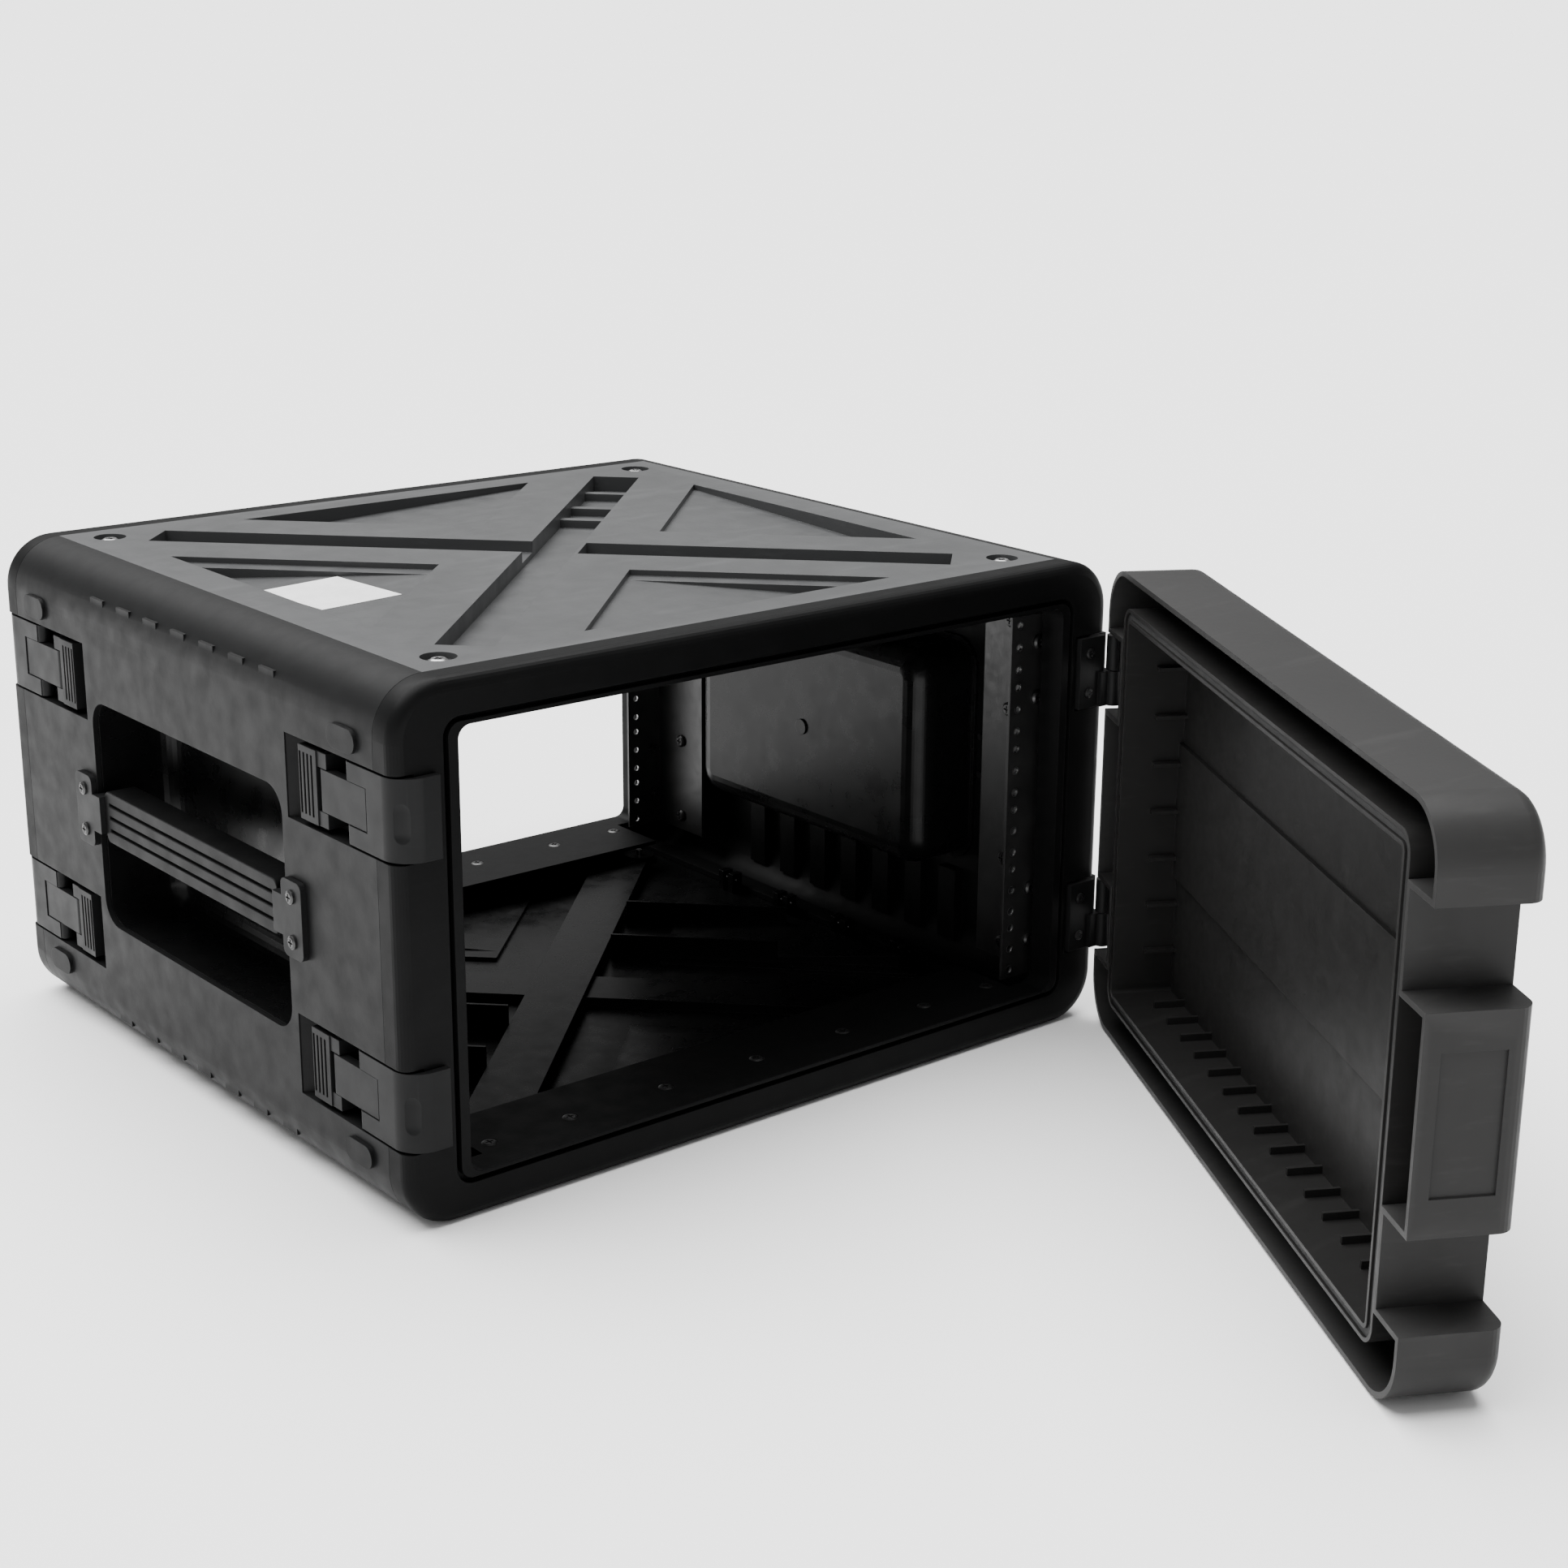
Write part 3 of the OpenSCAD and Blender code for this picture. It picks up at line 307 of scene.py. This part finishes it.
def round_over(bm, axis, face, into, radius, half_u, half_v, corner):
    """Rounds the edge where a round-cornered outline, centred at mid height, meets axis = face.

    into is the way from the face into the solid: 1 or -1 along the axis."""
    steps, on_face, on_outline, on_cut = 6, 0.01 * MM, 0.08 * MM, 1e-7
    across = [a for a in range(3) if a != axis]
    normal = Vector((0, 0, 0))
    normal[axis] = 1
    for k in range(1, steps + 1):
        at = Vector((0, 0, 0))
        at[axis] = face + into * radius * (1 - math.cos(math.pi / 2 * k / steps))
        geometry = bm.verts[:] + bm.edges[:] + bm.faces[:]
        bmesh.ops.bisect_plane(bm, geom=geometry, plane_co=at, plane_no=normal, dist=on_cut)
    for vert in bm.verts:
        deep = (vert.co[axis] - face) * into
        if not -on_face <= deep < radius:
            continue
        u, v = vert.co[across[0]], vert.co[across[1]] - MID_Z
        off, out = outline_offset(u, v, half_u, half_v, corner)
        if abs(off) > on_outline:
            continue
        shift = radius - math.sqrt(max(0.0, radius**2 - (radius - max(deep, 0)) ** 2))
        vert.co[across[0]] -= out[0] * shift
        vert.co[across[1]] -= out[1] * shift


def new_piece(bm, name, body, slot):
    """Turns a bmesh into a piece on that body, with the finish of that slot."""
    mesh = bpy.data.meshes.new(name)
    bm.to_mesh(mesh)
    bm.free()
    piece = bpy.data.objects.new(name, mesh)
    bpy.context.scene.collection.objects.link(piece)
    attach(piece, body)
    paint(piece, slot)
    return piece


def stand_in(bm, node, name):
    """Makes the piece that stands for a CAD node, on the same body and with the same finish."""
    bm.normal_update()
    piece = new_piece(bm, name, NODES[node]["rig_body"], SLOT_OF[node])
    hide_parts(node)
    return piece


def shade_smooth(obj):
    """Sets every face of an object to smooth shading."""
    for polygon in obj.data.polygons:
        polygon.use_smooth = True


def soften(obj, width):
    """Small real bevels on the hard edges, with the flat faces kept flat to the eye."""
    bevel = obj.modifiers.new("bevel", "BEVEL")
    bevel.width = width
    bevel.segments = 2
    bevel.limit_method = "ANGLE"
    bevel.angle_limit = math.radians(35)
    shade_smooth(obj)
    normals = obj.modifiers.new("normals", "WEIGHTED_NORMAL")
    normals.weight = 80


# ---------- pieces with rounded edges ----------


def rounded_frame(node, face, into):
    """End frame with the outer edge of its face rounded over. into is the way into the case."""
    bm = welded(node)
    round_over(bm, 1, face, into, RIM_ROUND, HALF_W, HEIGHT / 2, CORNER_R)
    stand_in(bm, node, f"{node}_moulding")


def rounded_tub(node, side):
    """Handle tub with its floor corners rounded, inside and out. side is its end of the X axis."""
    low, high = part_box(node)
    outer_floor = (low.x if side > 0 else high.x) + side * TUB_BOSS
    inner_floor = outer_floor + side * TUB_WALL
    half_l = (high.y - low.y) / 2 - TUB_FLANGE_L
    half_h = (high.z - low.z) / 2 - TUB_FLANGE_H
    bm = welded(node)
    for floor, out in ((inner_floor, 0), (outer_floor, TUB_WALL)):
        round_over(bm, 0, floor, side, TUB_ROUND + out, half_l + out, half_h + out, TUB_CORNER_R + out)
    stand_in(bm, node, f"{node}_moulding")


def rounded_door(node):
    """Door shell with its outer edge rounded over, shaped in the door's shut position."""
    shut = Matrix.Translation(HINGE_AT) @ Matrix.Rotation(math.radians(-DOOR_OPEN), 4, "Z")
    shut = shut @ Matrix.Translation(-HINGE_AT)
    bm = welded(node)
    bmesh.ops.transform(bm, matrix=shut, verts=bm.verts)
    outer = min(v.co.y for v in bm.verts)
    half_w = max(abs(v.co.x) for v in bm.verts)
    half_h = (max(v.co.z for v in bm.verts) - min(v.co.z for v in bm.verts)) / 2
    round_over(bm, 1, outer, 1, DOOR_ROUND, half_w, half_h, CORNER_R)
    bmesh.ops.transform(bm, matrix=shut.inverted(), verts=bm.verts)
    stand_in(bm, node, f"{node}_moulding")


def ring(bm, x, y, z, radius):
    """A ring of vertices round a point, square to Y."""
    turns = [2 * math.pi * i / RIM_SIDES for i in range(RIM_SIDES)]
    return [bm.verts.new((x + radius * math.cos(t), y, z + radius * math.sin(t))) for t in turns]


def rack_hole_rims(node, inward):
    """Bare bright rims round the tapped holes of a rack rail. inward is the way into the case."""
    low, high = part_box(node)
    column = math.copysign(RACK_COLUMNS / 2, low.x)
    face = low.y if inward > 0 else high.y
    units = round((high.z - low.z) / RACK_UNIT)
    bm = bmesh.new()
    for unit in range(units):
        for hole in range(HOLES_PER_UNIT):
            z = low.z + unit * RACK_UNIT + FIRST_HOLE + hole * HOLE_STEP
            rings = [ring(bm, column, face + inward * deep, z, r) for r, deep in HOLE_RIM_PROFILE]
            for outer, inner in zip(rings, rings[1:]):
                for i in range(RIM_SIDES):
                    k = (i + 1) % RIM_SIDES
                    bm.faces.new((outer[i], outer[k], inner[k], inner[i]))
    bmesh.ops.recalc_face_normals(bm, faces=bm.faces)
    shade_smooth(new_piece(bm, f"{node}_hole_rims", "case", "pin"))


# Widths of the real bevels, in millimetres, for the nodes that get them
LEVER_BEVEL = 0.9  # on all four latch levers
BEVELS = {
    "top_panel": 1.8, "bottom_panel": 1.2, "left_side_panel": 0.8, "right_side_panel": 0.8,
    "left_handle_grip": 2.0, "right_handle_grip": 2.0, "left_handle_brackets": 1.2,
    "right_handle_brackets": 1.2, "latch_bases": 0.5, "hinge_brackets": 0.7, "door_tray": 0.7,
    "door_hinge_leaves": 0.6, "blank_label": 0.05, "panel_clips": 0.5,
}


def dress():
    """Gives every CAD node its finish, or a stand-in with rounded edges."""
    rounded_frame("front_frame", FRONT_Y, 1)
    rounded_frame("rear_frame", -FRONT_Y, -1)
    rounded_tub("left_handle_tub", -1)
    rounded_tub("right_handle_tub", 1)
    rounded_door("door_shell")
    for node in ("front_left_rail", "front_right_rail"):
        rack_hole_rims(node, 1)
    for node in ("rear_left_rail", "rear_right_rail"):
        rack_hole_rims(node, -1)
    for name, node in NODES.items():
        if node.hide_render:
            continue
        width = BEVELS.get(name, LEVER_BEVEL if name.endswith("lever") else 0)
        if width:
            soften(stand_in(welded(name), name, f"{name}_softened"), width * MM)
        else:
            paint(node, SLOT_OF[name])


# ---------- camera, floor and light ----------


def look(azimuth, elevation, roll):
    """Rotation of a camera that looks along that azimuth from +Y and that elevation, in degrees."""
    a, e, r = (math.radians(angle) for angle in (azimuth, elevation, roll))
    forward = Vector((math.sin(a) * math.cos(e), math.cos(a) * math.cos(e), math.sin(e)))
    right = forward.cross(Vector((0, 0, 1))).normalized()
    up = right.cross(forward)
    turned_right = right * math.cos(r) + up * math.sin(r)
    turned_up = up * math.cos(r) - right * math.sin(r)
    return Matrix((turned_right, turned_up, -forward)).transposed().to_euler()


def add_camera():
    """The camera that was fitted to the rack holes and the outer edges."""
    data = bpy.data.cameras.new("camera")
    data.sensor_width = 36
    data.lens = 59.99
    data.shift_x = -0.0405
    data.shift_y = 0.0030
    data.clip_end = 2 * FLOOR_SIZE
    camera = bpy.data.objects.new("camera", data)
    camera.location = (-1.0059, -1.4792, 0.7118)
    camera.rotation_euler = look(40.841, -17.129, 0.826)
    bpy.context.scene.collection.objects.link(camera)
    bpy.context.scene.camera = camera


def add_floor():
    """A plain pale floor, a hair below the underside."""
    bpy.ops.mesh.primitive_plane_add(size=FLOOR_SIZE, location=(0, 0, -0.2 * MM))
    floor = bpy.context.object
    floor.name = "floor"
    f = Finish("floor_paper")
    f.drive("Base Color", f.tint(f.noise(0.5, 2), shade(0.96), shade(0.98)))
    f.shader.inputs["Roughness"].default_value = 0.95
    f.shader.inputs["Specular IOR Level"].default_value = 0.1
    floor.data.materials.append(f.material)


def add_sun(name, place, strength, angle):
    """A soft sun that shines from that place to the origin, its disc that many degrees wide."""
    data = bpy.data.lights.new(name, "SUN")
    data.energy = strength
    data.angle = math.radians(angle)
    sun = bpy.data.objects.new(name, data)
    sun.location = place
    sun.rotation_euler = (-Vector(place)).to_track_quat("-Z", "Y").to_euler()
    bpy.context.scene.collection.objects.link(sun)


def add_light():
    """A wide soft light from above, a weaker one from the left and a dim even surround."""
    world = bpy.data.worlds.new("studio")
    world.use_nodes = True
    background = world.node_tree.nodes["Background"]
    background.inputs["Color"].default_value = (1, 1, 1, 1)
    background.inputs["Strength"].default_value = 0.42
    bpy.context.scene.world = world
    add_sun("overhead", (-0.1, 0.7, 2.2), 9, 75)
    add_sun("left_fill", (-2.4, -0.9, 1.2), 0.3, 60)


dress()
add_camera()
add_floor()
add_light()
